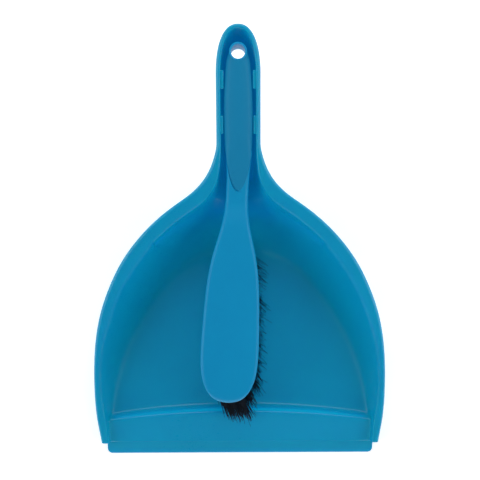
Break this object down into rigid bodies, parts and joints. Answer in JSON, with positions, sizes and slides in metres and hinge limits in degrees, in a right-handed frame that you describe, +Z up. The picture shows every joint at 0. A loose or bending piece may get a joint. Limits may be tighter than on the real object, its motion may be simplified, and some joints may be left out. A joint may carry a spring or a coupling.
{
  "type": "dust pan and hand brush set",
  "caption": "Moulded dust pan with an open channel handle that stores a hand brush, with leaning black bristles and a shared hanging hole.",
  "frame": {"origin": "middle of the overall footprint, on the surface that the pan rests on", "axes": "+Z up, +Y from the lip to the handle end, +X to the right seen from the lip"},
  "size_m": [0.2302, 0.33, 0.0881],
  "materials": {
    "pan_plastic": "glossy moulded blue polypropylene, slightly translucent",
    "brush_plastic": "satin moulded blue polypropylene",
    "soft_grip": "satin soft-touch over-moulding",
    "bristles": "near-black synthetic filament with a faint sheen",
    "anchor_wire": "flat drawn wire"
  },
  "bodies": {
    "dustpan": {"pan_shell": "pan_plastic"},
    "brush": {"brush_block": "brush_plastic", "handle_grip": "soft_grip", "bristle_row_01": "bristles", "bristle_row_02": "bristles", "bristle_row_03": "bristles", "bristle_row_04": "bristles", "bristle_row_05": "bristles", "bristle_row_06": "bristles", "bristle_row_07": "bristles", "bristle_row_08": "bristles", "bristle_row_09": "bristles", "bristle_row_10": "bristles", "bristle_row_11": "bristles", "bristle_row_12": "bristles", "bristle_row_13": "bristles", "bristle_row_14": "bristles", "bristle_row_15": "bristles", "bristle_row_16": "bristles", "bristle_row_17": "bristles", "anchor_row_01": "anchor_wire", "anchor_row_02": "anchor_wire", "anchor_row_03": "anchor_wire", "anchor_row_04": "anchor_wire", "anchor_row_05": "anchor_wire", "anchor_row_06": "anchor_wire", "anchor_row_07": "anchor_wire", "anchor_row_08": "anchor_wire", "anchor_row_09": "anchor_wire", "anchor_row_10": "anchor_wire", "anchor_row_11": "anchor_wire", "anchor_row_12": "anchor_wire", "anchor_row_13": "anchor_wire", "anchor_row_14": "anchor_wire", "anchor_row_15": "anchor_wire", "anchor_row_16": "anchor_wire", "anchor_row_17": "anchor_wire"}
  },
  "joints": [
    {"name": "brush_lift", "type": "slide", "parent": "dustpan", "child": "brush", "axis": [0, 0, 1], "range_m": [0, 0.15]}
  ]
}
